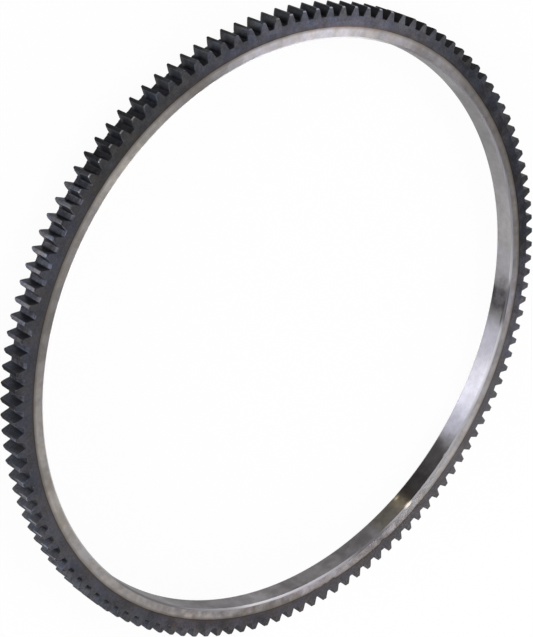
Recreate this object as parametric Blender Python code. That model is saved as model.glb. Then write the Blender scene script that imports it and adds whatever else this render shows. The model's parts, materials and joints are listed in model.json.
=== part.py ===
"""Flywheel ring gear: one steel ring with spur teeth on its outside, made to be shrunk onto a flywheel.

Metres, +Z up. The ring lies flat on its back face. The origin is the centre of that face, and one
tooth is centred on +X.
"""
import math

import bmesh
import bpy
from mathutils import Matrix, Vector

# Teeth
tooth_count = 128
module = 0.00254  # pitch diameter of one tooth
pressure_angle = math.radians(20)
addendum = 0.00212  # stub tooth, from the pitch circle out to the tip
dedendum = 0.00254  # from the pitch circle in to the root
tooth_thickness = 0.0034  # along the pitch circle, thinned for a starter pinion
root_fillet = 0.0005
tip_break = 0.00025  # corner between a flank and the tip land

# Ring
rim_depth = 0.0108  # radial wall from the bore to the tooth roots
face_width = 0.0125
front_tip_chamfer = 0.0006
front_bore_chamfer = 0.0009
back_bore_chamfer = 0.0013  # lead for seating the ring on its flywheel

# Lead-in cut on one flank of every tooth, at the back, where the starter pinion enters
lead_in_at_tip = 0.0015  # along the axis, from the back face
lead_in_at_root = 0.003
lead_in_angle = math.radians(30)  # between the cut and the axis
lead_in_ledge = 0.0003  # height above the root circle where the cut ends

# Facets
facets_per_tooth = 2
flank_steps = 2
fillet_steps = 2
cutter_margin = 0.001  # how far a cutter passes the metal that it cuts
flare_margin = 0.000075  # the same at the broken corner of a tip, where the next gap is near
lead_in_margin = 0.0005  # how far the lead-in cutter stands off the flank
weld_distance = 0.00001
smooth_angle = math.radians(40)

pitch_radius = tooth_count * module / 2
tip_radius = pitch_radius + addendum
root_radius = pitch_radius - dedendum
base_radius = pitch_radius * math.cos(pressure_angle)
bore_radius = root_radius - rim_depth
tooth_pitch = 2 * math.pi / tooth_count
straight_reach = 2 * root_fillet  # height above the roots over which a flank counts as straight


def polar(radius, angle):
    return Vector((radius * math.cos(angle), radius * math.sin(angle)))


def involute(angle):
    return math.tan(angle) - angle


def tooth_half_angle(radius):
    """Half the angle that a tooth spans at this radius, on its involute flanks."""
    pressure_here = math.acos(base_radius / max(radius, base_radius))
    at_pitch = tooth_thickness / (2 * pitch_radius)
    return at_pitch + involute(pressure_angle) - involute(pressure_here)


def gap_flank(radius):
    """Point on the flank of the gap centred on +X, on its +Y side."""
    return polar(radius, tooth_pitch / 2 - tooth_half_angle(radius))


def fillet_arc():
    """Points from the root circle up to the flank, round the fillet that touches both."""
    foot = gap_flank(root_radius)
    along = (gap_flank(root_radius + straight_reach) - foot).normalized()
    into_gap = Vector((along.y, -along.x))
    start = foot + into_gap * root_fillet
    reach = start.dot(along)
    rise = math.sqrt(reach**2 + (root_radius + root_fillet) ** 2 - start.length_squared)
    centre = start + along * (rise - reach)
    from_root = math.atan2(-centre.y, -centre.x)
    to_flank = math.atan2(-into_gap.y, -into_gap.x) % (2 * math.pi)
    swing = (to_flank - from_root) % (2 * math.pi)
    if swing > math.pi:
        swing -= 2 * math.pi
    return [
        centre + polar(root_fillet, from_root + swing * step / fillet_steps)
        for step in range(fillet_steps + 1)
    ]


def gap_outline():
    """Closed outline of the space between two teeth, running out past the tips."""
    side = fillet_arc()
    flank_foot = side[-1].length
    flank_top = tip_radius - tip_break
    for step in range(1, flank_steps + 1):
        side.append(gap_flank(flank_foot + (flank_top - flank_foot) * step / flank_steps))
    corner = side[-1]
    flare_step = tip_break + flare_margin
    flare = corner + Vector((flare_step, flare_step))
    side.append(flare)
    side.append(polar(tip_radius + cutter_margin, math.atan2(flare.y, flare.x)))
    mirrored = [Vector((point.x, -point.y)) for point in reversed(side)]
    return mirrored + side


def ring_section():
    """Turned section of the blank as (radius, height), down the outside and up the bore."""
    return [
        (tip_radius - front_tip_chamfer, face_width),
        (tip_radius, face_width - front_tip_chamfer),
        (tip_radius, 0),
        (bore_radius + back_bore_chamfer, 0),
        (bore_radius, back_bore_chamfer),
        (bore_radius, face_width - front_bore_chamfer),
        (bore_radius + front_bore_chamfer, face_width),
    ]


def new_object(name, bm):
    mesh = bpy.data.meshes.new(name)
    bm.to_mesh(mesh)
    bm.free()
    made = bpy.data.objects.new(name, mesh)
    bpy.context.scene.collection.objects.link(made)
    return made


def turned_blank():
    """The blank: its section swept once round, with flats whose middles lie on the true radii."""
    steps = tooth_count * facets_per_tooth
    stretch = 1 / math.cos(math.pi / steps)
    bm = bmesh.new()
    corners = [bm.verts.new((radius * stretch, 0, height)) for radius, height in ring_section()]
    for first, second in zip(corners, corners[1:] + corners[:1]):
        bm.edges.new((first, second))
    blank = new_object("ring_gear", bm)
    turn = blank.modifiers.new("turned", "SCREW")
    turn.steps = steps
    turn.render_steps = steps
    turn.use_merge_vertices = True
    turn.merge_threshold = weld_distance
    return blank


def add_prism(bm, lower, upper):
    """A closed solid between two outlines with as many points each."""
    low = [bm.verts.new(point) for point in lower]
    high = [bm.verts.new(point) for point in upper]
    bm.faces.new(reversed(low))
    bm.faces.new(high)
    count = len(low)
    for here in range(count):
        after = (here + 1) % count
        bm.faces.new((low[here], low[after], high[after], high[here]))


def cutter_round_the_ring(name, lower, upper, first_angle):
    """One cutter with a copy of the prism for every tooth."""
    bm = bmesh.new()
    for tooth in range(tooth_count):
        turn = Matrix.Rotation(first_angle + tooth * tooth_pitch, 3, "Z")
        add_prism(bm, [turn @ point for point in lower], [turn @ point for point in upper])
    bmesh.ops.recalc_face_normals(bm, faces=bm.faces)
    cutter = new_object(name, bm)
    cutter.hide_render = True
    cutter.display_type = "WIRE"
    return cutter


def tooth_gap_cutter():
    outline = gap_outline()
    lower = [point.to_3d() - Vector((0, 0, cutter_margin)) for point in outline]
    upper = [point.to_3d() + Vector((0, 0, face_width + cutter_margin)) for point in outline]
    return cutter_round_the_ring("tooth_gap_cutter", lower, upper, tooth_pitch / 2)


def lead_in_section(height):
    """Three corners of the lead-in cutter at this height above the root circle."""
    share = height / (tip_radius - root_radius)
    root = polar(root_radius, tooth_half_angle(root_radius))
    tip = polar(tip_radius, tooth_half_angle(tip_radius))
    flank = root.lerp(tip, share)
    length = lead_in_at_root + (lead_in_at_tip - lead_in_at_root) * share
    slope = math.tan(lead_in_angle)
    outside = flank.y + lead_in_margin
    return [
        Vector((flank.x, flank.y - (length + cutter_margin) * slope, -cutter_margin)),
        Vector((flank.x, outside, -cutter_margin)),
        Vector((flank.x, outside, length + (outside - flank.y) / slope)),
    ]


def lead_in_cutter():
    inner = lead_in_section(lead_in_ledge)
    outer = lead_in_section(tip_radius - root_radius + cutter_margin)
    return cutter_round_the_ring("lead_in_cutter", inner, outer, 0)


def cut(target, cutter):
    boolean = target.modifiers.new(cutter.name, "BOOLEAN")
    boolean.operation = "DIFFERENCE"
    boolean.solver = "EXACT"
    boolean.object = cutter


def steel():
    """Steel darkened by the hardening of the teeth."""
    material = bpy.data.materials.new("hardened_steel")
    material.use_nodes = True
    shader = material.node_tree.nodes["Principled BSDF"]
    shader.inputs["Base Color"].default_value = (0.075, 0.075, 0.085, 1)
    shader.inputs["Metallic"].default_value = 0.85
    shader.inputs["Roughness"].default_value = 0.5
    return material


def finish_mesh(target):
    """Turns the modifiers into plain mesh, shaded smooth up to its sharp edges."""
    graph = bpy.context.evaluated_depsgraph_get()
    cut_mesh = bpy.data.meshes.new_from_object(target.evaluated_get(graph))
    target.modifiers.clear()
    target.data = cut_mesh
    cut_mesh.name = target.name
    cut_mesh.shade_smooth()
    cut_mesh.set_sharp_from_angle(angle=smooth_angle)
    cut_mesh.materials.clear()
    cut_mesh.materials.append(steel())


def build_ring_gear():
    for old in list(bpy.data.objects):
        bpy.data.objects.remove(old)
    ring = turned_blank()
    cut(ring, tooth_gap_cutter())
    cut(ring, lead_in_cutter())
    finish_mesh(ring)


build_ring_gear()
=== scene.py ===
# Flywheel ring gear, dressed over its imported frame.
# The ring lies on its back face. Metres, +Z up, tooth number 0 is centred on +X.
import json
import math

import bmesh
import bpy
import numpy as np
from mathutils import Matrix, Vector

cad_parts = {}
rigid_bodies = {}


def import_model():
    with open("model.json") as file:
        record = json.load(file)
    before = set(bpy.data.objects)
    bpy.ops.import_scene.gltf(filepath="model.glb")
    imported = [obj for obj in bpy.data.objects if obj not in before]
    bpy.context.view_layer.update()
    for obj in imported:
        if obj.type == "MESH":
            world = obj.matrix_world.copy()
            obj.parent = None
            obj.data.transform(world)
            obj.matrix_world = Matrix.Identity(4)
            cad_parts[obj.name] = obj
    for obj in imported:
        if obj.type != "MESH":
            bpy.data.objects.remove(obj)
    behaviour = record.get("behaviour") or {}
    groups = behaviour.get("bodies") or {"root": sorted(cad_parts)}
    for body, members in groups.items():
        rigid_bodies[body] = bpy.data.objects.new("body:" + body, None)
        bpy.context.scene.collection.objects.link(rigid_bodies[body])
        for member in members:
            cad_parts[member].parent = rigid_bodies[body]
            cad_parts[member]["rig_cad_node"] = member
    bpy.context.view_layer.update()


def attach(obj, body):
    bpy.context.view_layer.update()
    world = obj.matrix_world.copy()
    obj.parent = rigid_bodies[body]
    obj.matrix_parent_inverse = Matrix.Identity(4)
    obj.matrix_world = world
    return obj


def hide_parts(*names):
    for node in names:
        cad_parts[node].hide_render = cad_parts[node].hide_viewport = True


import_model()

for name in ("Cube", "Light", "Camera"):  # the startup scene's own objects
    left = bpy.data.objects.get(name)
    if left is not None and "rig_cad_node" not in left:
        bpy.data.objects.remove(left)

scene = bpy.context.scene
scene.view_settings.view_transform = "Standard"


# Camera: the photograph's place, turn and lens, found from the outline of the teeth
view = {
    "place": (-0.01437366, 0.75569191, 0.74059591),
    "right": (0.47698558, -0.61543800, 0.62747178),
    "up": (0.87881174, 0.34469650, -0.32996098),
    "lens": 119.7767,  # mm
    "sensor": 36,  # mm, along the picture's longer side
    "nearest": 0.01,  # nothing nearer than this is drawn
}


def makeCamera():
    right = Vector(view["right"]).normalized()
    up = Vector(view["up"])
    up = (up - right * up.dot(right)).normalized()
    back = right.cross(up)
    turn = Matrix((right, up, back)).transposed().to_4x4()
    data = bpy.data.cameras.new("photoCamera")
    data.lens = view["lens"]
    data.sensor_width = view["sensor"]
    data.clip_start = view["nearest"]
    camera = bpy.data.objects.new("photoCamera", data)
    camera.matrix_world = Matrix.Translation(view["place"]) @ turn
    scene.collection.objects.link(camera)
    scene.camera = camera


makeCamera()
print("camera placed")


# Ring: the same sizes as the solid, with finer flanks, rounded tips and broken edges
gear = {
    "teeth": 128,
    "module": 0.00254,
    "pressureAngle": 20.0,
    "addendum": 0.00212,
    "dedendum": 0.00254,
    "toothThickness": 0.0034,
    "rootFillet": 0.0005,
    "tipRound": 0.00024,
    "rimDepth": 0.0108,
    "width": 0.0125,
    "tipChamfer": 0.0006,
    "frontBoreChamfer": 0.0009,
    "backBoreChamfer": 0.0013,
    "leadInTip": 0.0015,  # length of the pinion's lead-in along the axis, at the tip
    "leadInRoot": 0.003,
    "leadInAngle": 30.0,
    "leadInLedge": 0.0003,
    "edgeBreak": 0.00011,  # mean width of the broken edges
    "edgeBreakVary": 0.45,  # share of it that comes and goes along an edge
    "edgeBreakLimits": (-1.4, 2),  # least and most that it comes and goes, before that share
    "edgeBreakRun": 3,  # points over which a broken edge keeps its width
    "backEdgeTurn": 997,  # points by which the back edges' pattern is turned from the front's
    "toothVary": 0.000012,  # how far a flank or a tip strays from its true place
    "tipStrayMost": 0.00001,  # no tip stands further out than this
    "roundOnLand": 1.2,  # reach of a tip's rounding along its land, as a share of tipRound
    "flankRows": 6,
    "filletSteps": 60,
    "firstRow": 0.0015,  # from the front edge of a tooth back to the next row of points
    "middleRow": 0.45,  # place of the row after it, as a share of the way from the lead-in to the front
    "leadInRow": 0.5,  # place of the row on the lead-in, as a share of its length
    "rimStart": 0.0009,  # from the roots in to the first ring of points on the rim
    "rimRings": 9,
    "boreRings": 7,
    "sharpAngle": 32.0,  # degrees between two faces that meet in a sharp edge
    "seed": 7,
}

pitchRadius = gear["teeth"] * gear["module"] / 2
tipRadius = pitchRadius + gear["addendum"]
rootRadius = pitchRadius - gear["dedendum"]
boreRadius = rootRadius - gear["rimDepth"]
baseRadius = pitchRadius * math.cos(math.radians(gear["pressureAngle"]))
toothPitch = 2 * math.pi / gear["teeth"]
quarters = (0.25, 0.5, 0.75)  # places of the points between the two sides of a tooth
onTeeth, onFaces, inBore = 0, 1, 2  # which of the ring's materials a face has


def involute(angle):
    return math.tan(angle) - angle


def toothHalfAngle(radius):
    here = math.acos(baseRadius / max(radius, baseRadius))
    atPitch = gear["toothThickness"] / (2 * pitchRadius)
    return atPitch + involute(math.radians(gear["pressureAngle"])) - involute(here)


def flankPoint(radius):
    angle = toothHalfAngle(radius)
    return np.array((radius * math.cos(angle), radius * math.sin(angle)))


def filletPoints(steps):
    # round the fillet that touches the flank and the root circle, from the flank down
    r = gear["rootFillet"]
    foot = flankPoint(rootRadius)
    along = flankPoint(rootRadius + 2 * r) - foot  # the flank counts as straight this far up
    along /= np.hypot(*along)
    outward = np.array((-along[1], along[0]))
    start = foot + outward * r
    reach = start @ along
    rise = math.sqrt(reach**2 + (rootRadius + r) ** 2 - start @ start)
    centre = start + along * (rise - reach)
    fromFlank = math.atan2(-outward[1], -outward[0])
    toRoot = math.atan2(-centre[1], -centre[0])
    swing = (toRoot - fromFlank + math.pi) % (2 * math.pi) - math.pi
    angles = fromFlank + swing * np.linspace(0, 1, steps + 1)
    return centre + r * np.stack((np.cos(angles), np.sin(angles)), 1)


def toothSide():
    # (radius, angle) down one side of a tooth, from the end of the tip land to the root circle
    corner = np.array((tipRadius, toothHalfAngle(tipRadius)))
    onLand = corner - (0, gear["roundOnLand"] * gear["tipRound"] / tipRadius)
    low = tipRadius - gear["tipRound"]
    onFlank = np.array((low, toothHalfAngle(low)))
    side = [onLand, 0.25 * onLand + 0.5 * corner + 0.25 * onFlank, onFlank]  # round the corner
    steps = gear["filletSteps"]
    fine = filletPoints(steps)
    fillet = np.stack((np.hypot(*fine.T), np.arctan2(fine[:, 1], fine[:, 0])), 1)
    chamferFoot = tipRadius - gear["tipChamfer"]
    for radius in np.linspace(chamferFoot, fillet[0, 0], gear["flankRows"]):
        side.append(np.array((radius, toothHalfAngle(radius))))
    ledge = rootRadius + gear["leadInLedge"]
    atLedge = int(np.argmin(np.abs(fillet[:, 0] - ledge)))
    stops = {steps // 4, steps // 2, atLedge - 1, atLedge, (atLedge + steps) // 2, steps}
    for stop in sorted(stops):
        if stop > 0:
            side.append(fillet[stop])
    return np.array(side), ledge


def leadInLength(radius):
    share = np.clip((radius - rootRadius) / (tipRadius - rootRadius), 0, 1)
    return gear["leadInRoot"] + (gear["leadInTip"] - gear["leadInRoot"]) * share


def capHeight(radius):
    # front face, falling away over the chamfer of the tips
    return gear["width"] - np.maximum(0, radius - (tipRadius - gear["tipChamfer"]))


def outlineAt(side, ledge, cutLength=None):
    # one tooth's outline from the middle of a gap, as (radius, angle), leaving out its last point
    left = side[::-1] * (1, -1)
    right = side.copy()
    if cutLength is not None:
        above = right[:, 0] > ledge
        depth = np.maximum(0, leadInLength(right[:, 0]) - cutLength)
        depth = depth * math.tan(math.radians(gear["leadInAngle"]))
        right[:, 1] -= np.where(above, depth / right[:, 0], 0)
    start, end = left[-1], right[0]
    land = [start + (end - start) * share for share in quarters]
    foot = side[-1, 1]
    middle = (rootRadius, -toothPitch / 2)
    nearLeft = (rootRadius, -(foot + toothPitch / 2) / 2)
    nearRight = (rootRadius, (foot + toothPitch / 2) / 2)
    return np.array([middle, nearLeft, *left, *land, *right, nearRight])


def wrapped(outline):
    # the outline of every tooth, one after another round the ring
    turns = np.arange(gear["teeth"]) * toothPitch
    radius = np.tile(outline[:, 0], gear["teeth"])
    angle = (turns[:, None] + outline[None, :, 1]).ravel()
    return radius, angle


def flatXY(radius, angle):
    return np.stack((radius * np.cos(angle), radius * np.sin(angle)), 1)


def outwardOf(xy):
    ahead = np.roll(xy, -1, 0) - xy
    behind = xy - np.roll(xy, 1, 0)
    ahead /= np.hypot(*ahead.T)[:, None]
    behind /= np.hypot(*behind.T)[:, None]
    along = ahead + behind
    along /= np.hypot(*along.T)[:, None]
    return np.stack((along[:, 1], -along[:, 0]), 1)


def ringMesh():
    dice = np.random.default_rng(gear["seed"])
    side, ledge = toothSide()
    teeth = gear["teeth"]
    plain = outlineAt(side, ledge)
    perTooth = len(plain)
    levels = len(side)
    count = teeth * perTooth
    radius, angle = wrapped(plain)
    xy = flatXY(radius, angle)
    outward = outwardOf(xy)
    leftAt = slice(2, 2 + levels)
    landAt = slice(leftAt.stop, leftAt.stop + len(quarters))
    rightAt = slice(landAt.stop, landAt.stop + levels)

    # small strays: each flank a little to one side, each tip a little high or low
    lean = np.repeat(dice.normal(0, gear["toothVary"], teeth), perTooth)
    lift = np.repeat(dice.normal(0, gear["toothVary"], teeth), perTooth)
    onTooth = np.clip((radius - rootRadius) / (tipRadius - rootRadius), 0, 1)

    def strayed(r, a):
        return r + np.minimum(lift, gear["tipStrayMost"]) * onTooth, a + lean * onTooth / r

    run = gear["edgeBreakRun"]
    coarse = np.repeat(dice.normal(0, 1, count // run + 1), run)[:count]
    smooth = (np.roll(coarse, 1) + coarse + np.roll(coarse, -1)) / 3

    def breakWidth(noise):
        return gear["edgeBreak"] * (1 + gear["edgeBreakVary"] * np.clip(noise, *gear["edgeBreakLimits"]))

    breakFront = breakWidth(smooth)
    breakBack = breakWidth(np.roll(smooth, gear["backEdgeTurn"]))

    points = []
    made = [0]

    def addRow(xyRow, z):
        z = np.broadcast_to(z, len(xyRow))
        points.append(np.column_stack((xyRow, z)))
        first = made[0]
        made[0] += len(xyRow)
        return np.arange(first, made[0])

    # outside wall, row by row from the front
    topZ = capHeight(radius) - breakFront
    cutZ = leadInLength(radius)
    middleZ = cutZ + (topZ - cutZ) * gear["middleRow"]
    heights = [topZ, topZ - gear["firstRow"], middleZ, cutZ, cutZ * gear["leadInRow"], breakBack]
    rows = []
    for z in heights:
        shaped = outlineAt(side, ledge, z[:perTooth][rightAt])
        r, a = wrapped(shaped)
        rows.append(addRow(flatXY(*strayed(r, a)), z))

    # outlines of the two faces, set in by the broken edge
    inset = xy - outward * breakFront[:, None]
    insetRadius = np.hypot(*inset.T)
    insetAngle = np.arctan2(inset[:, 1], inset[:, 0])
    front = addRow(flatXY(*strayed(insetRadius, insetAngle)), capHeight(insetRadius))
    backOutline = outlineAt(side, ledge, np.zeros(levels))
    r, a = wrapped(backOutline)
    backXY = flatXY(*strayed(r, a))
    backXY = backXY - outwardOf(backXY) * breakBack[:, None]
    back = addRow(backXY, 0.0)

    quads, kinds, edges = [], [], []

    def addQuads(quad, kind, broken):
        quads.append(quad)
        kinds.append(np.full(len(quad), kind))
        edges.append(np.full(len(quad), broken))

    def addStrip(first, second, kind, broken=0.0):
        addQuads(np.stack((first, np.roll(first, -1), np.roll(second, -1), second), 1), kind, broken)

    for first, second in zip(rows, rows[1:]):
        addStrip(first, second, onTeeth)
    addStrip(front, rows[0], onTeeth, broken=1.0)
    addStrip(rows[-1], back, onTeeth, broken=1.0)

    # faces of the teeth, as rungs from flank to flank, then the flat of the rim
    coords = np.concatenate(points)
    rims = []
    for face in (front, back):
        outline = face.reshape(teeth, perTooth)
        left = outline[:, leftAt][:, ::-1]
        right = outline[:, rightAt]
        land = outline[:, landAt]
        above = np.concatenate((left[:, :1], land, right[:, :1]), 1)
        for level in range(1, levels):
            ends = coords[left[:, level]], coords[right[:, level]]
            inner = []
            for share in quarters:
                xyz = ends[0] + (ends[1] - ends[0]) * share
                reach = np.hypot(*ends[0][:, :2].T) * (1 - share) + np.hypot(*ends[1][:, :2].T) * share
                xyz[:, :2] *= (reach / np.hypot(*xyz[:, :2].T))[:, None]
                inner.append(addRow(xyz[:, :2], xyz[:, 2]))
            below = np.concatenate((left[:, level, None], np.stack(inner, 1), right[:, level, None]), 1)
            quad = np.stack((above[:, :-1], above[:, 1:], below[:, 1:], below[:, :-1]), 2).reshape(-1, 4)
            addQuads(quad, onFaces, 0.0)
            above = below
        following = np.roll(outline, -1, 0)
        gap = np.stack((outline[:, -1], following[:, 0], following[:, 1]), 1)
        rims.append(np.concatenate((above, gap), 1).ravel())
        coords = np.concatenate(points)

    # flat of each face, then the chamfers and the bore
    def ringOf(template, r, z):
        turn = np.arctan2(coords[template, 1], coords[template, 0])
        return addRow(flatXY(np.full(len(turn), r), turn), z)

    steps = np.linspace(rootRadius - gear["rimStart"], boreRadius, gear["rimRings"])[:-1]

    def rimRings(outer, chamfer, z):
        foot = boreRadius + chamfer
        return [outer] + [ringOf(outer, r, z) for r in (*steps, foot) if r >= foot]

    frontInner = rimRings(rims[0], gear["frontBoreChamfer"], gear["width"])
    backInner = rimRings(rims[1], gear["backBoreChamfer"], 0.0)
    for rings in (frontInner, backInner):
        for first, second in zip(rings, rings[1:]):
            addStrip(first, second, onFaces)
    boreZ = np.linspace(gear["width"] - gear["frontBoreChamfer"], gear["backBoreChamfer"], gear["boreRings"])
    bore = [ringOf(rims[0], boreRadius, z) for z in boreZ]
    addStrip(frontInner[-1], bore[0], inBore, broken=1.0)
    for first, second in zip(bore, bore[1:]):
        addStrip(first, second, inBore)
    addStrip(bore[-1], backInner[-1], inBore, broken=1.0)
    return np.concatenate(points), np.concatenate(quads), np.concatenate(kinds), np.concatenate(edges)


def makeRing(materials):
    points, quads, kinds, edges = ringMesh()
    mesh = bpy.data.meshes.new("dressedRing")
    mesh.from_pydata(points.tolist(), [], quads.tolist())
    mesh.validate()
    for material in materials:
        mesh.materials.append(material)
    mesh.polygons.foreach_set("material_index", kinds.astype(np.int32))
    worn = mesh.attributes.new("brokenEdge", "FLOAT", "FACE")
    worn.data.foreach_set("value", edges.astype(np.float32))
    work = bmesh.new()
    work.from_mesh(mesh)
    bmesh.ops.recalc_face_normals(work, faces=work.faces)
    work.to_mesh(mesh)
    work.free()
    mesh.shade_smooth()
    mesh.set_sharp_from_angle(angle=math.radians(gear["sharpAngle"]))
    ring = bpy.data.objects.new("dressedRing", mesh)
    scene.collection.objects.link(ring)
    print("ring built,", len(mesh.polygons), "faces")
    return ring


# Small helpers for wiring nodes
def place(tree, kind, **settings):
    node = tree.nodes.new(kind)
    for key, value in settings.items():
        setattr(node, key, value)
    return node


def wire(tree, node, inputs):
    for key, value in inputs.items():
        if isinstance(value, bpy.types.NodeSocket):
            tree.links.new(value, node.inputs[key])
        else:
            node.inputs[key].default_value = value
    return node


def maths(tree, operation, first, second=0.0, third=0.0, clamp=False):
    node = place(tree, "ShaderNodeMath", operation=operation, use_clamp=clamp)
    return wire(tree, node, {0: first, 1: second, 2: third}).outputs[0]


def spread(tree, value, low, high, toLow=0.0, toHigh=1.0):
    # rises smoothly from toLow to toHigh while the value goes from low to high
    node = place(tree, "ShaderNodeMapRange", interpolation_type="SMOOTHSTEP")
    inputs = {"Value": value, "From Min": low, "From Max": high, "To Min": toLow, "To Max": toHigh}
    return wire(tree, node, inputs).outputs["Result"]


def fade(tree, value, low, high):
    return spread(tree, value, low, high, 1.0, 0.0)


def sharpened(tree, noise, half, toLow=0.0, toHigh=1.0):
    # noise made stronger: this far each side of its middle it reaches its ends
    return spread(tree, noise, 0.5 - half, 0.5 + half, toLow, toHigh)


def weighed(tree, *parts):
    # the sum of some values, each times its weight
    total = None
    for value, weight in parts:
        part = maths(tree, "MULTIPLY", value, weight)
        total = part if total is None else maths(tree, "ADD", total, part)
    return total


def blendColor(tree, share, first, second, kind="MIX"):
    node = place(tree, "ShaderNodeMix", data_type="RGBA", blend_type=kind)
    return wire(tree, node, {0: share, 6: first, 7: second}).outputs[2]


def tinted(tree, color, tint, share=1.0):
    return blendColor(tree, share, color, tint, kind="MULTIPLY")


def blendValue(tree, share, first, second):
    node = place(tree, "ShaderNodeMix", data_type="FLOAT")
    return wire(tree, node, {0: share, 2: first, 3: second}).outputs[0]


def cloudy(tree, vector, scale, detail=3.0, rough=0.55, four=None):
    node = place(tree, "ShaderNodeTexNoise", noise_dimensions="3D" if four is None else "4D")
    inputs = {"Vector": vector, "Scale": scale, "Detail": detail, "Roughness": rough}
    if four is not None:
        inputs["W"] = four
    return wire(tree, node, inputs).outputs["Fac"]


def joinVector(tree, x, y, z):
    return wire(tree, place(tree, "ShaderNodeCombineXYZ"), {0: x, 1: y, 2: z}).outputs[0]


def startGroup(name, inputs, outputs):
    tree = bpy.data.node_groups.new(name, "ShaderNodeTree")
    for label, kind, value in inputs:
        socket = tree.interface.new_socket(name=label, in_out="INPUT", socket_type=kind)
        socket.default_value = value
    for label, kind in outputs:
        tree.interface.new_socket(name=label, in_out="OUTPUT", socket_type=kind)
    inside = tree.nodes.new("NodeGroupInput").outputs
    return tree, inside, tree.nodes.new("NodeGroupOutput")


def useGroup(tree, group, inputs=None):
    node = place(tree, "ShaderNodeGroup", node_tree=group)
    return wire(tree, node, inputs or {}).outputs


numberSocket, colorSocket, vectorSocket = "NodeSocketFloat", "NodeSocketColor", "NodeSocketVector"


# Where a point lies on the ring: its radius, its height, and a place round the ring with no seam
def ringPlaceGroup():
    tree, _, out = startGroup("ringPlace", [], [
        ("Radius", numberSocket), ("Height", numberSocket),
        ("Round", vectorSocket), ("Point", vectorSocket)])
    point = place(tree, "ShaderNodeTexCoord").outputs["Object"]
    parts = wire(tree, place(tree, "ShaderNodeSeparateXYZ"), {0: point}).outputs
    flat = joinVector(tree, parts[0], parts[1], 0.0)
    length = place(tree, "ShaderNodeVectorMath", operation="LENGTH")
    radius = wire(tree, length, {0: flat}).outputs["Value"]
    unit = place(tree, "ShaderNodeVectorMath", operation="NORMALIZE")
    unit = wire(tree, unit, {0: flat}).outputs[0]
    wire(tree, out, {"Radius": radius, "Height": parts[2], "Round": unit, "Point": point})
    return tree


# Fine lines left by turning or grinding, each running round the ring
def turningLinesGroup():
    tree, given, out = startGroup("turningLines", [
        ("Round", vectorSocket, (0, 0, 0)), ("Across", numberSocket, 0.0),
        ("Spacing", numberSocket, 0.0002), ("Waver", numberSocket, 3.0)],
        [("Lines", numberSocket)])
    across = maths(tree, "DIVIDE", given["Across"], given["Spacing"])
    parts = wire(tree, place(tree, "ShaderNodeSeparateXYZ"), {0: given["Round"]}).outputs
    x = maths(tree, "MULTIPLY", parts[0], given["Waver"])
    y = maths(tree, "MULTIPLY", parts[1], given["Waver"])
    lines = cloudy(tree, joinVector(tree, x, y, across), 1.0, detail=2.0, rough=0.7)
    wire(tree, out, {"Lines": sharpened(tree, lines, half=0.2)})
    return tree


# Black scale from hardening: its colour, its gloss and its fine grain
def hardScaleGroup():
    tree, given, out = startGroup("hardScale", [
        ("Point", vectorSocket, (0, 0, 0)), ("Dark", colorSocket, (0.04, 0.042, 0.05, 1)),
        ("Light", colorSocket, (0.08, 0.082, 0.095, 1)), ("Patch Scale", numberSocket, 90.0),
        ("Speck Scale", numberSocket, 850.0), ("Grain Scale", numberSocket, 2600.0),
        ("Hue Scale", numberSocket, 130.0), ("Warm", colorSocket, (1.06, 1.0, 0.90, 1)),
        ("Cool", colorSocket, (0.94, 1.0, 1.10, 1))],
        [("Color", colorSocket), ("Roughness", numberSocket), ("Height", numberSocket)])
    patches = cloudy(tree, given["Point"], given["Patch Scale"], detail=5.0, rough=0.6)
    specks = cloudy(tree, given["Point"], given["Speck Scale"], detail=3.0, rough=0.7)
    grain = cloudy(tree, given["Point"], given["Grain Scale"], detail=2.0, rough=0.6)
    share = weighed(tree, (patches, 0.45), (specks, 0.55))
    color = blendColor(tree, sharpened(tree, share, half=0.14), given["Dark"], given["Light"])
    hueNoise = cloudy(tree, given["Point"], given["Hue Scale"], detail=4.0, rough=0.6, four=1.0)
    hue = blendColor(tree, sharpened(tree, hueNoise, half=0.14), given["Warm"], given["Cool"])
    color = tinted(tree, color, hue)
    rough = sharpened(tree, patches, half=0.2, toLow=0.40, toHigh=0.56)
    wire(tree, out, {"Color": color, "Roughness": rough, "Height": grain})
    return tree


# Worn corners: the share of bare metal along the broken edges
def edgeWearGroup():
    tree, given, out = startGroup("edgeWear", [
        ("Edge", numberSocket, 0.0), ("Point", vectorSocket, (0, 0, 0)),
        ("Amount", numberSocket, 0.6), ("Patch Scale", numberSocket, 350.0)],
        [("Wear", numberSocket)])
    patches = spread(tree, cloudy(tree, given["Point"], given["Patch Scale"], detail=4.0), 0.32, 0.62)
    wear = maths(tree, "MULTIPLY", given["Edge"], patches)
    wear = maths(tree, "MULTIPLY", wear, given["Amount"], clamp=True)
    wire(tree, out, {"Wear": wear})
    return tree


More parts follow.
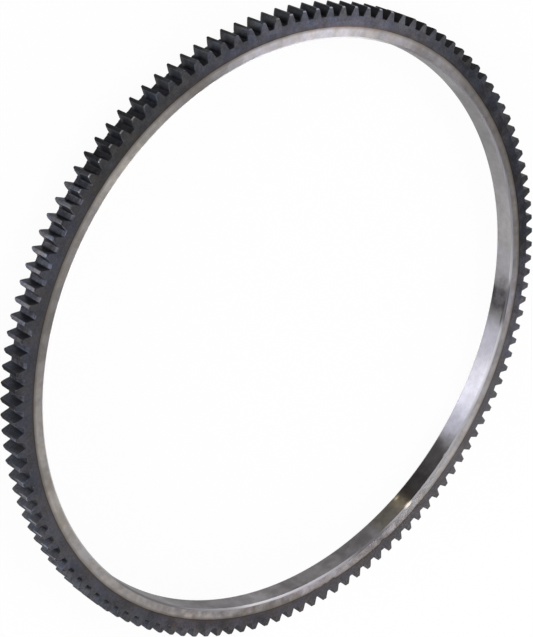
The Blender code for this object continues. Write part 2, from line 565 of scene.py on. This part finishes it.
# A stretch of the ring round one angle, with soft ends: 1 inside it and 0 outside, all in degrees
def stretchGroup():
    tree, given, out = startGroup("stretch", [
        ("Round", vectorSocket, (1, 0, 0)), ("Middle", numberSocket, 0.0),
        ("Half Width", numberSocket, 10.0), ("Softness", numberSocket, 4.0),
        ("Shift", numberSocket, 0.0)],
        [("Mask", numberSocket)])
    back = maths(tree, "RADIANS", maths(tree, "MULTIPLY", given["Middle"], -1.0))
    turned = place(tree, "ShaderNodeVectorRotate", rotation_type="Z_AXIS")
    turned = wire(tree, turned, {"Vector": given["Round"], "Angle": back}).outputs[0]
    parts = wire(tree, place(tree, "ShaderNodeSeparateXYZ"), {0: turned}).outputs
    away = maths(tree, "DEGREES", maths(tree, "ARCTAN2", parts[1], parts[0]))
    away = maths(tree, "ABSOLUTE", maths(tree, "ADD", away, given["Shift"]))
    low = maths(tree, "SUBTRACT", given["Half Width"], given["Softness"])
    high = maths(tree, "ADD", given["Half Width"], given["Softness"])
    wire(tree, out, {"Mask": fade(tree, away, low, high)})
    return tree


ringPlace = ringPlaceGroup()
turningLines = turningLinesGroup()
hardScale = hardScaleGroup()
edgeWear = edgeWearGroup()
stretch = stretchGroup()
print("shared shader groups made")


def stretchMask(tree, where, middle, halfWidth, softness, shift=0.0):
    return useGroup(tree, stretch, {
        "Round": where["Round"], "Middle": middle, "Half Width": halfWidth,
        "Softness": softness, "Shift": shift})["Mask"]


def tintStretches(tree, where, color, stretches, shift=0.0):
    # each entry holds a middle, a half width and a softness in degrees, then the tint that multiplies
    for middle, halfWidth, softness, tint in stretches.values():
        mask = stretchMask(tree, where, middle, halfWidth, softness, shift)
        color = tinted(tree, color, (*tint, 1), mask)
    return color


def blotchStretch(tree, where, color, blotches):
    # darker and paler blotches over one stretch of the ring
    middle, halfWidth, softness, dark, pale, scale = blotches
    mask = stretchMask(tree, where, middle, halfWidth, softness)
    noise = cloudy(tree, where["Point"], scale, detail=5.0, rough=0.6, four=5.0)
    tint = blendColor(tree, sharpened(tree, noise, half=0.12), (*dark, 1), (*pale, 1))
    return tinted(tree, color, tint, mask)


# Every surface was cut or ground round the ring, so its gloss spreads across that lay
def startMaterial(name, metallic, lay):
    material = bpy.data.materials.new(name)
    material.use_nodes = True
    tree = material.node_tree
    shader = tree.nodes["Principled BSDF"]
    shader.inputs["Metallic"].default_value = metallic
    shader.inputs["Anisotropic"].default_value = lay
    shader.inputs["Anisotropic Rotation"].default_value = 0.25  # a quarter turn, so across the lay
    return material, tree, shader


def edgeValue(tree):
    node = place(tree, "ShaderNodeAttribute", attribute_type="GEOMETRY", attribute_name="brokenEdge")
    return node.outputs["Fac"]


# Teeth: black hardening scale, worn to grey along the corners, with painted light and shade round the ring
teethFinish = {
    "metallic": 0.55,
    "lay": 0.85,
    "sheen": 0.2,  # Specular IOR Level
    "dark": (0.022, 0.0235, 0.029, 1),
    "light": (0.052, 0.054, 0.064, 1),
    "landShade": (0.48, 0.48, 0.485),  # painted shade: tint of the tips and of the roots beside the flanks
    "rootShade": (0.93, 0.92, 0.97),
    "flankStretches": {  # painted light and shade on the flanks round the ring: middle, half width and softness in degrees, then the tint there
        "blackTop": (14, 27, 5, (0.30, 0.31, 0.34)),
        "blackest": (4, 17, 5, (0.50, 0.50, 0.52)),
        "dimTop": (62, 23, 5, (0.60, 0.61, 0.62)),
        "paleLeft": (111, 15, 6, (1.36, 1.36, 1.44)),
        "paleLower": (143, 9, 5, (1.8, 1.8, 1.85)),
        "evenLower": (172, 18, 5, (1.22, 1.22, 1.24)),
        "blackBottom": (218, 22, 5, (0.34, 0.34, 0.36)),
    },
    "flankFrontFrom": (0.0046, 0.0085),  # heights over which the front half of a flank begins
    # painted light and shade on the front halves of the flanks
    "flankFront": {
        "paleTopFlanks": (60, 17, 5, (1.9, 1.9, 1.9)),
        "darkLeftFlanks": (111, 15, 6, (0.62, 0.62, 0.62)),
    },
    "feetTo": (rootRadius + 0.0004, rootRadius + 0.0020),  # radii over which the painted shade at the feet of the flanks ends
    "darkFeet": {
        "left": (164, 30, 6, (0.42, 0.42, 0.44)),
        "top": (60, 20, 5, (0.56, 0.56, 0.60)),
    },
    "landFrom": (tipRadius - 0.00016, tipRadius - 0.00005),  # radii over which the tips begin
    # painted light and shade on the tips round the ring, the brightest at 99 degrees a painted highlight
    "landStretches": {
        "litTips": (99, 13, 4, (5.2, 5.0, 4.9)),
        "blackTips": (74, 9, 3, (0.55, 0.55, 0.55)),
        "dimTips": (38, 19, 6, (0.33, 0.33, 0.35)),
        "greyTips": (152, 6, 3, (0.30, 0.30, 0.34)),
        "blackPatch": (121, 5, 3, (0.27, 0.27, 0.28)),
    },
    "cornerGlint": (145, 11, 3, (2.7, 2.7, 2.7)),  # painted highlight on the rounded corner between a flank and its tip
    "cornerFrom": (tipRadius - 0.0006, tipRadius - 0.00035),
    "cornerTo": (tipRadius - 0.0001, tipRadius - 0.00002),
    "cornerHeights": (0.0045, 0.007),
    "landFrontFrom": (0.006, 0.0095),  # heights over which the front half of a tip begins
    # painted highlights on the front halves of the tips
    "landFront": {
        "paleTips": (145, 19, 5, (2.6, 2.6, 2.65)),
        "paleTopTips": (48, 16, 5, (2.6, 2.6, 2.7)),
    },
    "rootTo": (rootRadius + 0.00004, rootRadius + 0.0003),  # radii over which the roots end
    # painted shade in the roots round the ring
    "rootStretches": {
        "blackRoots": (76, 9, 3, (0.30, 0.30, 0.32)),
        "blackTopRoots": (36, 31, 4, (0.36, 0.36, 0.38)),
        "dimRootsLow": (147, 14, 5, (0.68, 0.68, 0.70)),
        "blackRootsLow": (194, 42, 5, (0.35, 0.35, 0.37)),
    },
    "rootBlotches": (110, 60, 10, (0.62, 0.62, 0.63), (1.34, 1.34, 1.35), 420.0),  # last, noise scale
    "litRootFronts": (105, 22, 6, (2.00, 2.00, 2.05)),  # painted light on the front ends of the roots
    "litRootFrom": (gear["width"] - 0.0034, gear["width"] - 0.0018),
    "worn": (0.13, 0.13, 0.145, 1),
    "wear": 0.4,
    "grainDepth": 0.00002,
    "grainStrength": 0.7,
}


def makeTeethSteel():
    finish = teethFinish
    material, tree, shader = startMaterial("hardenedTeeth", finish["metallic"], finish["lay"])
    shader.inputs["Specular IOR Level"].default_value = finish["sheen"]
    where = useGroup(tree, ringPlace)
    radius, height = where["Radius"], where["Height"]
    scale = useGroup(tree, hardScale, {
        "Point": where["Point"], "Dark": finish["dark"], "Light": finish["light"]})
    bare = scale["Color"]

    # painted light and shade on the flanks round the ring, then on their front halves and feet
    color = tintStretches(tree, where, bare, finish["flankStretches"])
    front = tintStretches(tree, where, color, finish["flankFront"])
    color = blendColor(tree, spread(tree, height, *finish["flankFrontFrom"]), color, front)
    feet = tintStretches(tree, where, color, finish["darkFeet"])
    color = blendColor(tree, fade(tree, radius, *finish["feetTo"]), color, feet)

    # tips: a shaded copy of the scale, with painted highlights and shade round the ring
    land = tinted(tree, bare, (*finish["landShade"], 1))
    land = tintStretches(tree, where, land, finish["landStretches"])
    front = tintStretches(tree, where, land, finish["landFront"])
    land = blendColor(tree, spread(tree, height, *finish["landFrontFrom"]), land, front)
    color = blendColor(tree, spread(tree, radius, *finish["landFrom"]), color, land)

    # painted highlight along the rounded corners of the tips
    glint = tintStretches(tree, where, color, {"glint": finish["cornerGlint"]})
    rising, falling = spread(tree, radius, *finish["cornerFrom"]), fade(tree, radius, *finish["cornerTo"])
    onCorner = maths(tree, "MULTIPLY", rising, falling)
    onCorner = maths(tree, "MULTIPLY", onCorner, spread(tree, height, *finish["cornerHeights"]))
    color = blendColor(tree, onCorner, color, glint)

    # roots: painted shade round the ring, blotches, then painted light on their front ends
    root = tinted(tree, bare, (*finish["rootShade"], 1))
    root = tintStretches(tree, where, root, finish["rootStretches"])
    root = blotchStretch(tree, where, root, finish["rootBlotches"])
    litFronts = tintStretches(tree, where, root, {"litFronts": finish["litRootFronts"]})
    root = blendColor(tree, spread(tree, height, *finish["litRootFrom"]), root, litFronts)
    color = blendColor(tree, fade(tree, radius, *finish["rootTo"]), color, root)

    wear = useGroup(tree, edgeWear, {
        "Edge": edgeValue(tree), "Point": where["Point"], "Amount": finish["wear"]})["Wear"]
    color = blendColor(tree, wear, color, finish["worn"])
    bump = wire(tree, place(tree, "ShaderNodeBump"), {
        "Strength": finish["grainStrength"], "Distance": finish["grainDepth"], "Height": scale["Height"]})
    wire(tree, shader, {"Base Color": color, "Roughness": scale["Roughness"], "Normal": bump.outputs[0]})
    return material


# Faces: a bright turned band inside, then temper colours, then the scale that the teeth have, with painted
# highlights and shade round the ring
faceFinish = {
    "metallic": 0.8,
    "lay": 0.8,
    "bandEdge": 0.15482,  # radius where the bright band ends
    "bandEdgeSoft": (-0.00012, 0.00012),  # over these distances from that edge, outward
    "bandEdgeStray": 0.00022,
    "strayScale": 160.0,
    "bandEdgeBroad": (330, 22, 5, 0.0006),  # where the dark edge reaches further in, and how far
    "bandEdgeRagged": (236, 14, 6, 0.0011),  # where scale runs into it in places, and how far
    "raggedScale": 110.0,
    "raggedFrom": (0.50, 0.66),  # noise at which the runs begin and are whole
    "lineSpacing": 0.00016,
    "mottleScale": 55.0,
    "fleckScale": 150.0,
    "bandShares": (0.3, 0.15, 0.55),  # of mottle, turning lines and flecks
    "bandDark": (0.250, 0.235, 0.217, 1),
    "bandLight": (0.425, 0.410, 0.402, 1),
    "bandRough": 0.34,
    "bandRoughVary": 0.12,
    "pearlScale": 210.0,
    "pearlWarm": (1.04, 0.99, 0.97, 1),
    "pearlCool": (0.98, 0.99, 1.05, 1),
    "strawEdge": (0.16, 0.135, 0.11, 1),
    "strawShare": 0.75,
    "strawFrom": (-0.0017, 0.0),  # distances from the band's edge, as the next ones are
    "temperLine": (0.040, 0.030, 0.026, 1),
    "temperLineShare": 0.8,
    "temperLineTo": (0.00025, 0.0007),
    "redLine": (0.105, 0.062, 0.048, 1),
    "redStretch": (26, 9, 6),
    "temperZone": (0.070, 0.056, 0.051, 1),
    "temperShare": 0.6,
    "temperTo": (0.0004, 0.0019),
    "scaleDark": (0.046, 0.047, 0.056, 1),
    "scaleLight": (0.085, 0.085, 0.098, 1),
    "scaleGrain": 2.0,  # height of the scale's grain beside that of the turning lines
    "rimTint": (0.998, 0.974, 1.008),  # below the roots
    "toothTint": (1.02, 1.01, 0.99),
    "toothTintFrom": (rootRadius - 0.0008, rootRadius + 0.0008),
    # painted shade on the chamfer of the tips, brightened again by the painted highlights below
    "chamferShade": (0.36, 0.36, 0.37),
    "chamferFrom": (tipRadius - 0.00075, tipRadius - 0.00045),
    # painted highlights and shade on the turned band round the ring, with violet tints in places
    "bandStretches": {
        "brightest": (39, 13, 7, (1.63, 1.66, 1.83)),
        "dullGap": (61, 3.5, 3, (0.70, 0.69, 0.67)),
        "brightTop": (79, 7.5, 5, (1.45, 1.43, 1.34)),
        "dullLeft": (106, 9, 5, (0.74, 0.74, 0.72)),
        "brightLeft": (138, 14, 5, (1.20, 1.18, 1.12)),
        "paleBottom": (180, 14, 6, (1.17, 1.16, 1.14)),
        "dullBottom": (209, 8, 4, (0.82, 0.81, 0.79)),
        "brightBottom": (225, 6, 3, (1.25, 1.24, 1.27)),
        "brightRight": (300, 7, 4, (1.40, 1.41, 1.52)),
        "dullRight": (343, 14, 6, (0.80, 0.79, 0.79)),
        "violetRight": (262, 38, 12, (0.97, 0.97, 1.01)),
        "dullerBottom": (240, 4, 3, (0.80, 0.79, 0.79)),
        "greyRight": (281, 6, 4, (0.84, 0.84, 0.87)),
        "violetTop": (8, 13, 6, (0.90, 0.90, 0.95)),
        "paleTop": (356, 6, 4, (1.12, 1.12, 1.13)),
    },
    # painted light and shade on the faces of the teeth, with a blue tint on the left
    "toothStretches": {
        "paleRight": (330, 36, 8, (1.30, 1.28, 1.28)),
        "blueLeft": (112, 42, 8, (0.97, 0.98, 1.06)),
        "paleFar": (256, 28, 8, (1.14, 1.14, 1.14)),
        "paleBottom": (196, 8, 4, (1.25, 1.24, 1.24)),
        "dimTop": (33, 6, 4, (0.84, 0.83, 0.80)),
    },
    # painted light and shade on the scale round the ring, darker and warmer on the left, with a brown tint
    # at the bottom
    "scaleStretches": {
        "paleBottom": (191, 6, 4, (1.25, 1.24, 1.24)),
        "palest": (36, 20, 8, (1.13, 1.15, 1.29)),
        "dimWarmLeft": (76, 13, 5, (0.84, 0.82, 0.74)),
        "paleRight": (297, 11, 4, (1.70, 1.68, 1.76)),
        "brownBottom": (233, 50, 10, (1.00, 0.905, 0.85)),
        "blackRight": (338, 20, 8, (0.78, 0.80, 0.82)),
    },
    "blotches": (218, 32, 9, (0.76, 0.73, 0.75), (1.20, 1.19, 1.22), 210.0),  # last, noise scale
    "patches": (8, 78, 12, (0.74, 0.74, 0.74), (1.14, 1.14, 1.14), 170.0),
    # painted highlights on the chamfer of the tips round the ring, and painted shade at the bottom
    "chamferStretches": {
        "glintTips": (52, 37, 3, (5.0, 5.0, 4.9)),
        "brightestGlintTips": (81, 10, 4, (3.2, 3.2, 3.1)),
        "glintTop": (27, 14, 4, (2.2, 2.15, 1.95)),
        "dimBottom": (177, 13, 4, (0.5, 0.5, 0.5)),
    },
    "turningDepth": 0.000006,
    "turningStrength": 0.6,
}


def makeFaceSteel():
    finish = faceFinish
    material, tree, shader = startMaterial("turnedFace", finish["metallic"], finish["lay"])
    where = useGroup(tree, ringPlace)
    point = where["Point"]

    def fromEdge(distances):
        return [finish["bandEdge"] + distance for distance in distances]

    # radius as the band's edge sees it, so that the edge strays, broadens and runs
    stray = cloudy(tree, point, finish["strayScale"], detail=4.0)
    stray = maths(tree, "MULTIPLY", maths(tree, "SUBTRACT", stray, 0.5), 2 * finish["bandEdgeStray"])
    radius = maths(tree, "ADD", where["Radius"], stray)
    *broad, inward = finish["bandEdgeBroad"]
    radius = maths(tree, "MULTIPLY_ADD", stretchMask(tree, where, *broad), inward, radius)
    *ragged, inward = finish["bandEdgeRagged"]
    runs = cloudy(tree, point, finish["raggedScale"], detail=4.0, four=7.0)
    runs = spread(tree, runs, *finish["raggedFrom"], 0.0, inward)
    radius = maths(tree, "MULTIPLY_ADD", stretchMask(tree, where, *ragged), runs, radius)
    beyond = spread(tree, radius, *fromEdge(finish["bandEdgeSoft"]))

    lines = useGroup(tree, turningLines, {
        "Round": where["Round"], "Across": where["Radius"], "Spacing": finish["lineSpacing"]})["Lines"]
    mottle = cloudy(tree, point, finish["mottleScale"], detail=5.0, rough=0.62)
    flecks = cloudy(tree, point, finish["fleckScale"], detail=5.0, rough=0.72)
    parts = sharpened(tree, mottle, half=0.15), lines, sharpened(tree, flecks, half=0.14)
    share = weighed(tree, *zip(parts, finish["bandShares"]))
    band = blendColor(tree, share, finish["bandDark"], finish["bandLight"])
    pearl = cloudy(tree, point, finish["pearlScale"], detail=3.0, four=2.0)
    pearl = blendColor(tree, sharpened(tree, pearl, half=0.15), finish["pearlWarm"], finish["pearlCool"])
    band = tinted(tree, band, pearl)
    # painted highlights and shade round the band
    band = tintStretches(tree, where, band, finish["bandStretches"])
    band = blotchStretch(tree, where, band, finish["blotches"])
    straw = spread(tree, radius, *fromEdge(finish["strawFrom"]))
    straw = maths(tree, "MULTIPLY", straw, finish["strawShare"])
    band = blendColor(tree, straw, band, finish["strawEdge"])

    scale = useGroup(tree, hardScale, {
        "Point": point, "Dark": finish["scaleDark"], "Light": finish["scaleLight"]})
    onTooth = spread(tree, where["Radius"], *finish["toothTintFrom"])
    # painted light and shade on the faces of the teeth round the ring
    tooth = tintStretches(tree, where, (*finish["toothTint"], 1), finish["toothStretches"])
    outer = tinted(tree, scale["Color"], blendColor(tree, onTooth, (*finish["rimTint"], 1), tooth))
    temper = fade(tree, radius, *fromEdge(finish["temperTo"]))
    temper = maths(tree, "MULTIPLY", temper, finish["temperShare"])
    outer = blendColor(tree, temper, outer, finish["temperZone"])
    red = stretchMask(tree, where, *finish["redStretch"])
    lineColor = blendColor(tree, red, finish["temperLine"], finish["redLine"])
    line = fade(tree, radius, *fromEdge(finish["temperLineTo"]))
    line = maths(tree, "MULTIPLY", line, finish["temperLineShare"])
    outer = blendColor(tree, line, outer, lineColor)
    # painted light and shade on the scale round the ring
    outer = tintStretches(tree, where, outer, finish["scaleStretches"])
    outer = blotchStretch(tree, where, outer, finish["patches"])

    # chamfer of the tips: painted shade, then painted highlights round the ring
    chamfer = tinted(tree, scale["Color"], (*finish["chamferShade"], 1))
    chamfer = tintStretches(tree, where, chamfer, finish["chamferStretches"])
    onChamfer = spread(tree, where["Radius"], *finish["chamferFrom"])
    outer = blendColor(tree, onChamfer, outer, chamfer)

    rough = maths(tree, "MULTIPLY_ADD", mottle, finish["bandRoughVary"], finish["bandRough"])
    grain = maths(tree, "MULTIPLY", scale["Height"], finish["scaleGrain"])
    bump = wire(tree, place(tree, "ShaderNodeBump"), {
        "Strength": finish["turningStrength"], "Distance": finish["turningDepth"],
        "Height": blendValue(tree, beyond, lines, grain)})
    wire(tree, shader, {
        "Base Color": blendColor(tree, beyond, band, outer),
        "Roughness": blendValue(tree, beyond, rough, scale["Roughness"]),
        "Normal": bump.outputs[0]})
    return material


# Bore: ground steel with a blotchy oil film and a smudge, and painted reflections, bright and dark, round
# the ring
boreFinish = {
    "metallic": 1.0,
    "lay": 1.0,
    "lineSpacing": 0.00012,
    "lineWaver": 6.0,
    "mottleScale": 42.0,
    "speckScale": 260.0,
    "shares": (0.4, 0.25, 0.3),  # of mottle, grinding lines and specks
    "clean": (0.282, 0.275, 0.283, 1),
    "dull": (0.163, 0.158, 0.159, 1),
    "rough": 0.33,
    "roughVary": 0.1,
    "chamfer": (0.46, 0.45, 0.47),
    "chamferMetallic": 0.3,
    "chamferTop": (0.85, 0.85, 0.85, 1),  # painted shade: tint of the front chamfer's upper part
    "chamferTopFrom": (gear["width"] - 0.0006, gear["width"] - 0.0002),
    # painted highlights and shade on the chamfers of the bore round the ring
    "chamferStretches": {
        "dullLow": (186, 18, 4, (0.46, 0.45, 0.47)),
        "litEdge": (219, 7, 4, (1.30, 1.28, 1.34)),
        "darkEdge": (238.5, 5, 2.5, (0.46, 0.45, 0.46)),
        # a darker stretch of the chamfer here
        "darkLine": (297.6, 4.6, 2, (0.31, 0.30, 0.32)),
        "dullRight": (342, 34, 7, (0.41, 0.40, 0.42)),
        "fading": (356, 10, 5, (0.80, 0.80, 0.81)),
        "glint": (250.0, 0.8, 0.7, (3.0, 2.9, 2.6)),
    },
    # painted reflections on the bore, bright and dark, round the ring, with a dark smudge
    "stretches": {
        "greyReflection": (198, 10, 4, (0.60, 0.59, 0.60)),
        "dimReflection": (225, 15, 4, (0.76, 0.74, 0.75)),
        "warmReflection": (247.5, 5.5, 2, (0.70, 0.66, 0.56)),
        "darkReflection": (257.5, 7, 1.6, (0.40, 0.38, 0.39)),
        "blackest": (254.5, 3.5, 2.5, (0.62, 0.60, 0.60)),
        "brightReflection": (280, 13.2, 2.5, (1.72, 1.74, 1.92)),
        "brightReflectionStart": (270.5, 4, 3, (1.75, 1.76, 1.82)),
        "duller": (289, 3.6, 2.4, (0.80, 0.80, 0.81)),
        "smudge": (298.5, 2.6, 1.1, (0.53, 0.52, 0.55)),
        "litRight": (306, 3, 2, (1.35, 1.36, 1.42)),
    },
    "filmBlotches": (222, 42, 8, (0.86, 0.85, 0.85), (1.13, 1.13, 1.14), 130.0),  # last, noise scale
    "smudgeBlotches": (299.4, 3.4, 1.4, (0.70, 0.68, 0.69), (1.28, 1.28, 1.29), 150.0),
    "glints": {  # painted glints as small bright spots, a painted warm reflection and a thin dark line: middle, half width, softness, height, reach, tint
        "frontGlint": (250.1, 0.6, 0.8, 0.0118, 0.0017, (7.0, 6.7, 5.9)),
        "backGlint": (249.9, 0.4, 0.6, 0.0029, 0.0014, (3.4, 3.25, 2.75)),
        "goldReflection": (249.7, 1.6, 1.6, 0.0065, 0.012, (1.65, 1.57, 1.30)),
        "darkLine": (294.3, 1.2, 0.8, 0.0109, 0.0008, (0.30, 0.29, 0.31)),
        "edgeGlint": (263.0, 0.4, 0.4, 0.0114, 0.0008, (4.0, 3.8, 3.6)),
    },
    "slant": 60.0,  # degrees that a stretch leans per metre of height
    "stray": 0.5,  # degrees that its ends stray
    "strayScale": 120.0,
    "grindingDepth": 0.000003,
    "grindingStrength": 0.5,
}


def makeBoreSteel():
    finish = boreFinish
    material, tree, shader = startMaterial("groundBore", finish["metallic"], finish["lay"])
    where = useGroup(tree, ringPlace)
    point, height = where["Point"], where["Height"]
    lines = useGroup(tree, turningLines, {
        "Round": where["Round"], "Across": height, "Spacing": finish["lineSpacing"],
        "Waver": finish["lineWaver"]})["Lines"]
    mottle = cloudy(tree, point, finish["mottleScale"], detail=4.0)
    specks = cloudy(tree, point, finish["speckScale"], detail=4.0, rough=0.65)
    parts = sharpened(tree, mottle, half=0.15), lines, sharpened(tree, specks, half=0.2)
    share = weighed(tree, *zip(parts, finish["shares"]))
    color = blendColor(tree, share, finish["dull"], finish["clean"])

    slant = maths(tree, "SUBTRACT", height, gear["width"] / 2)
    slant = maths(tree, "MULTIPLY", slant, finish["slant"])
    stray = cloudy(tree, point, finish["strayScale"], detail=3.0)
    stray = sharpened(tree, stray, 0.2, -finish["stray"], finish["stray"])
    # painted reflections round the ring, leaning with height
    color = tintStretches(tree, where, color, finish["stretches"], maths(tree, "ADD", slant, stray))
    color = blotchStretch(tree, where, color, finish["filmBlotches"])
    color = blotchStretch(tree, where, color, finish["smudgeBlotches"])
    # painted glints, a painted warm reflection and a thin dark line, each near one height
    for *along, level, reach, tint in finish["glints"].values():
        away = maths(tree, "ABSOLUTE", maths(tree, "SUBTRACT", height, level))
        near = fade(tree, away, 0.0, reach)
        mask = maths(tree, "MULTIPLY", stretchMask(tree, where, *along), near)
        color = tinted(tree, color, (*tint, 1), mask)

    edge = edgeValue(tree)
    # chamfers: painted highlights and shade round the ring, painted shade on the front one's upper part
    chamfer = tintStretches(tree, where, (*finish["chamfer"], 1), finish["chamferStretches"])
    atTop = spread(tree, height, *finish["chamferTopFrom"])
    chamfer = tinted(tree, chamfer, finish["chamferTop"], atTop)
    bump = wire(tree, place(tree, "ShaderNodeBump"), {
        "Strength": finish["grindingStrength"], "Distance": finish["grindingDepth"], "Height": lines})
    wire(tree, shader, {
        "Base Color": blendColor(tree, edge, color, chamfer),
        "Roughness": maths(tree, "MULTIPLY_ADD", mottle, finish["roughVary"], finish["rough"]),
        "Metallic": blendValue(tree, edge, finish["metallic"], finish["chamferMetallic"]),
        "Normal": bump.outputs[0]})
    return material


ring = makeRing([makeTeethSteel(), makeFaceSteel(), makeBoreSteel()])
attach(ring, "root")
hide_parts("ring_gear")
print("ring dressed")


# Studio: a pale floor that keeps a soft shadow, an even surround and soft lamps
studio = {
    "floorColor": (0.94, 0.94, 0.94, 1),
    "floorReach": 30.0,
    "floorDrop": 0.0002,  # below the ring
    "glow": 0.96,  # share of plain white that the floor shows besides its own shading
    "surround": 0.25,
    "lampDistance": 2.0,
    "lowSize": (0.52, 0.5),
    "highSize": (1.0, 0.9),
    "lowLamps": {  # direction round the ring and height above it in degrees, power in watts
        "rightEdge": (15, 8, 4.0),
        "leftBright": (105, 8, 20.0),
        "leftSoft": (120, 8, 10.0),
        "backLeft": (150, 8, 5.0),
        "back": (165, 8, 12.0),
        "backRight": (180, 8, 5.0),
        "farRight": (225, 8, 4.0),
        "farSoft": (255, 8, 10.0),
        "farBright": (270, 8, 16.5),
    },
    "highLamps": {
        "highBack": (210, 35, 10.0),
        "highRight": (330, 35, 20.0),
    },
}


def makeFloor():
    reach = studio["floorReach"]
    mesh = bpy.data.meshes.new("floor")
    corners = [(-reach, -reach, 0), (reach, -reach, 0), (reach, reach, 0), (-reach, reach, 0)]
    mesh.from_pydata(corners, [], [(0, 1, 2, 3)])
    floor = bpy.data.objects.new("floor", mesh)
    scene.collection.objects.link(floor)
    floor.location.z = -studio["floorDrop"]
    material = bpy.data.materials.new("paleFloor")
    material.use_nodes = True
    tree = material.node_tree
    tree.nodes.clear()
    rays = place(tree, "ShaderNodeLightPath").outputs
    seen = maths(tree, "ADD", rays["Is Camera Ray"], rays["Is Glossy Ray"])
    seen = maths(tree, "ADD", seen, rays["Is Transmission Ray"], clamp=True)
    plain = wire(tree, place(tree, "ShaderNodeBsdfDiffuse"), {"Color": studio["floorColor"]})
    glow = wire(tree, place(tree, "ShaderNodeEmission"), {"Color": (1, 1, 1, 1), "Strength": 1.0})
    share = maths(tree, "MULTIPLY", seen, studio["glow"])
    mixed = wire(tree, place(tree, "ShaderNodeMixShader"), {
        0: share, 1: plain.outputs[0], 2: glow.outputs[0]})
    wire(tree, place(tree, "ShaderNodeOutputMaterial"), {"Surface": mixed.outputs[0]})
    mesh.materials.append(material)


def makeSurround():
    world = bpy.data.worlds.new("surround")
    scene.world = world
    world.use_nodes = True
    sky = world.node_tree.nodes["Background"]
    sky.inputs["Color"].default_value = (1, 1, 1, 1)
    sky.inputs["Strength"].default_value = studio["surround"]


def makeLamps():
    for kind in ("low", "high"):
        width, height = studio[kind + "Size"]
        for name, (direction, rise, power) in studio[kind + "Lamps"].items():
            data = bpy.data.lights.new(name, "AREA")
            data.shape = "RECTANGLE"
            data.size = width
            data.size_y = height
            data.energy = power
            lamp = bpy.data.objects.new(name, data)
            heading, up = math.radians(direction), math.radians(rise)
            flat = math.cos(up)
            toLamp = Vector((flat * math.cos(heading), flat * math.sin(heading), math.sin(up)))
            lamp.location = toLamp * studio["lampDistance"]
            lamp.rotation_euler = (-toLamp).to_track_quat("-Z", "Y").to_euler()
            scene.collection.objects.link(lamp)


makeFloor()
makeSurround()
makeLamps()
print("studio lit")
